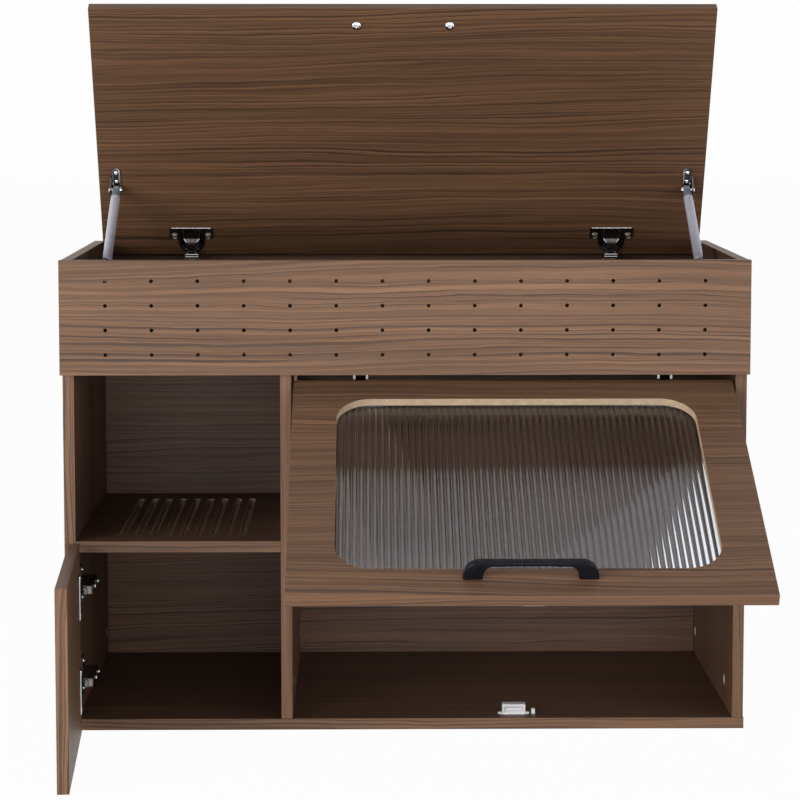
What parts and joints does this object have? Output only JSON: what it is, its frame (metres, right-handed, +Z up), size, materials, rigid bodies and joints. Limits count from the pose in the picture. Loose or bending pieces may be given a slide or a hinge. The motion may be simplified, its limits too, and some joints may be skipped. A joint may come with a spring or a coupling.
{
  "type": "cat litter box cabinet",
  "caption": "Free-standing board cabinet that hides a cat litter tray: top lid on stays, lift-up window flap, slatted cubby and small cupboard door.",
  "frame": {"origin": "centre of the bottom panel's underside, where the cabinet stands", "axes": "+Z up, the front looks towards -Y, +X to the right seen from the front"},
  "size_m": [0.9, 0.8054, 0.9617],
  "materials": {
    "walnut_board": "walnut-print melamine board, satin",
    "walnut_inside": "walnut-print melamine board, inside faces",
    "fluted_sheet": "clear fluted acrylic sheet",
    "bright_steel": "bright plated steel",
    "dark_nickel": "nickel-plated steel",
    "black_handle": "satin black cast metal",
    "cam_beige": "beige cam lock",
    "brassy_screw": "yellow-passivated screw",
    "white_plastic": "white moulded plastic",
    "grey_plastic": "grey moulded plastic",
    "stay_tube": "light silver painted tube"
  },
  "bodies": {
    "carcass": {"bottom_panel": "walnut_board", "left_side_panel": "walnut_board", "right_side_panel": "walnut_board", "divider_panel": "walnut_inside", "slatted_shelf": "walnut_inside", "back_panel": "walnut_inside", "storage_box_floor": "walnut_inside", "perforated_front_panel": "walnut_board", "cam_lock_left_front": "cam_beige", "cam_lock_left_rear": "cam_beige", "cam_lock_divider_front": "cam_beige", "cam_lock_divider_rear": "cam_beige", "cam_lock_right_front": "cam_beige", "cam_lock_right_rear": "cam_beige", "lid_hinge_arm_left": "dark_nickel", "lid_hinge_arm_right": "dark_nickel", "flap_hinge_arm_left": "dark_nickel", "flap_hinge_arm_right": "dark_nickel", "door_hinge_arm_lower": "dark_nickel", "door_hinge_arm_upper": "dark_nickel", "stay_side_bracket_left": "dark_nickel", "stay_side_bracket_right": "dark_nickel", "magnet_catch": "white_plastic", "catch_screw_left": "brassy_screw", "catch_screw_right": "brassy_screw", "flap_bump_stop": "white_plastic"},
    "lid": {"lid_panel": "walnut_board", "lid_hinge_cup_left": "dark_nickel", "lid_hinge_cup_right": "dark_nickel", "lid_handle": "black_handle", "lid_handle_screw_left": "bright_steel", "lid_handle_screw_right": "bright_steel", "lid_stay_bracket_left": "dark_nickel", "lid_stay_bracket_right": "dark_nickel"},
    "flap": {"flap_panel": "walnut_board", "fluted_window": "fluted_sheet", "flap_hinge_cup_left": "dark_nickel", "flap_hinge_cup_right": "dark_nickel", "flap_handle": "black_handle", "flap_handle_screw_left": "bright_steel", "flap_handle_screw_right": "bright_steel", "catch_strike_plate": "bright_steel"},
    "door": {"door_panel": "walnut_board", "door_hinge_cup_lower": "dark_nickel", "door_hinge_cup_upper": "dark_nickel"},
    "stay_tube_left": {"stay_tube_left": "stay_tube", "stay_tube_end_left": "grey_plastic"},
    "stay_tube_right": {"stay_tube_right": "stay_tube", "stay_tube_end_right": "grey_plastic"},
    "stay_rod_left": {"stay_rod_left": "bright_steel", "stay_rod_end_left": "grey_plastic"},
    "stay_rod_right": {"stay_rod_right": "bright_steel", "stay_rod_end_right": "grey_plastic"}
  },
  "joints": [
    {"name": "lid_hinge", "type": "hinge", "parent": "carcass", "child": "lid", "pos_m": [0, 0.176, 0.624], "axis": [-1, 0, 0], "range_deg": [-63, 0]},
    {"name": "flap_hinge", "type": "hinge", "parent": "carcass", "child": "flap", "pos_m": [0, -0.206, 0.459], "axis": [-1, 0, 0], "range_deg": [-63, 27]},
    {"name": "door_hinge", "type": "hinge", "parent": "carcass", "child": "door", "pos_m": [-0.444, -0.2255, 0.126], "axis": [0, 0, -1], "range_deg": [-86.5, 8.5]},
    {"name": "stay_pin_left", "type": "hinge", "parent": "lid", "child": "stay_tube_left", "pos_m": [-0.406, 0.10833, 0.70175], "axis": [-1, 0, 0], "range_deg": [-1, 87]},
    {"name": "stay_slide_left", "type": "slide", "parent": "stay_tube_left", "child": "stay_rod_left", "axis": [0, -0.839, -0.5441], "range_m": [-0.0705, 0.001]},
    {"name": "stay_pin_right", "type": "hinge", "parent": "lid", "child": "stay_tube_right", "pos_m": [0.406, 0.10833, 0.70175], "axis": [-1, 0, 0], "range_deg": [-1, 87]},
    {"name": "stay_slide_right", "type": "slide", "parent": "stay_tube_right", "child": "stay_rod_right", "axis": [0, -0.839, -0.5441], "range_m": [-0.0705, 0.001]}
  ],
  "couplings": [
    {"joint": "stay_pin_left", "follows": "lid_hinge", "ratio": -1.3556},
    {"joint": "stay_slide_left", "follows": "lid_hinge", "m_per_rad": 0.063156},
    {"joint": "stay_pin_right", "follows": "lid_hinge", "ratio": -1.3556},
    {"joint": "stay_slide_right", "follows": "lid_hinge", "m_per_rad": 0.063156}
  ]
}
